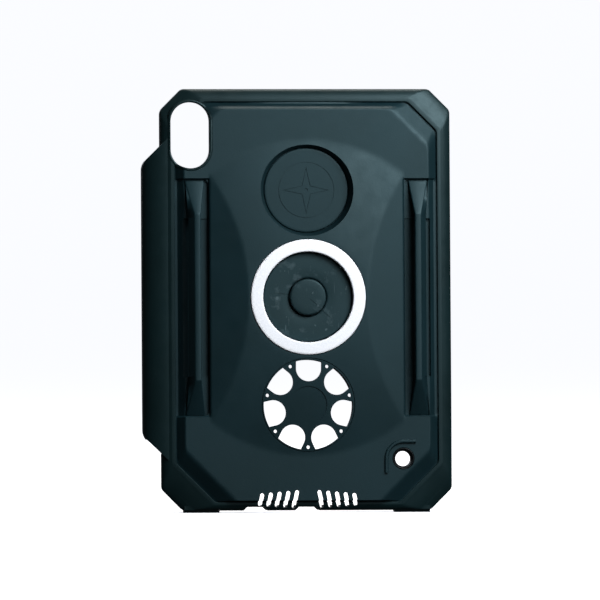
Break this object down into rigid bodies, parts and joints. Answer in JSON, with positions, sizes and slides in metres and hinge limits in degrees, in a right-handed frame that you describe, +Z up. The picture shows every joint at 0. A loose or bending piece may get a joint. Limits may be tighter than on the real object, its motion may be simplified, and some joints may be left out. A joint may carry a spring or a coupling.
{
  "type": "rugged tablet case",
  "caption": "Rugged protective back case for a small tablet, with a round mounting ring, a vented grille, two strap rails and a stylus garage.",
  "frame": {"origin": "middle of the object's footprint, on the plane that its feet stand on", "axes": "+Z up, -Y out of the case's back, towards the camera that sees it, +X to the right when the back is looked at; the case stands on its feet and its top leans 3.5 degrees towards +Y"},
  "size_m": [0.1512, 0.0292, 0.2064],
  "materials": {
    "soft_bumper": "satin moulded elastomer",
    "hard_shell": "fine moulded grain",
    "suede_liner": "short suede pile",
    "bright_ring": "bead blasted and clear anodised",
    "steel": "plain",
    "plug_rubber": "matt, lightly scuffed"
  },
  "bodies": {
    "case": {"bumper_frame": "soft_bumper", "stylus_garage": "soft_bumper", "back_shell": "hard_shell", "inner_liner": "suede_liner", "mount_ring": "bright_ring", "ring_backplate": "steel", "strap_rail_left": "hard_shell", "strap_rail_right": "hard_shell", "camera_surround": "soft_bumper", "tether_eyelet": "steel", "mount_ring_screw_1": "steel", "mount_ring_screw_2": "steel", "mount_ring_screw_3": "steel", "mount_ring_screw_4": "steel", "strap_rail_screw_left_upper": "steel", "strap_rail_screw_left_lower": "steel", "strap_rail_screw_right_upper": "steel", "strap_rail_screw_right_lower": "steel"},
    "plug": {"mount_plug": "plug_rubber", "plug_grip_boss": "hard_shell"},
    "grille": {"vent_grille": "hard_shell"},
    "badge": {"blank_disc": "hard_shell"},
    "volume_up": {"volume_up_button": "hard_shell"},
    "volume_down": {"volume_down_button": "hard_shell"}
  },
  "joints": [
    {"name": "plug_pull", "type": "slide", "parent": "case", "child": "plug", "axis": [0, -0.9981, 0.061], "range_m": [0, 0.014]},
    {"name": "grille_pull", "type": "slide", "parent": "case", "child": "grille", "axis": [0, -0.9981, 0.061], "range_m": [0, 0.01]},
    {"name": "badge_pull", "type": "slide", "parent": "case", "child": "badge", "axis": [0, -0.9981, 0.061], "range_m": [0, 0.014]},
    {"name": "volume_up_press", "type": "slide", "parent": "case", "child": "volume_up", "axis": [0, -0.061, -0.9981], "range_m": [0, 0.0005], "stiffness_N_per_m": 2000},
    {"name": "volume_down_press", "type": "slide", "parent": "case", "child": "volume_down", "axis": [0, -0.061, -0.9981], "range_m": [0, 0.0005], "stiffness_N_per_m": 2000}
  ]
}
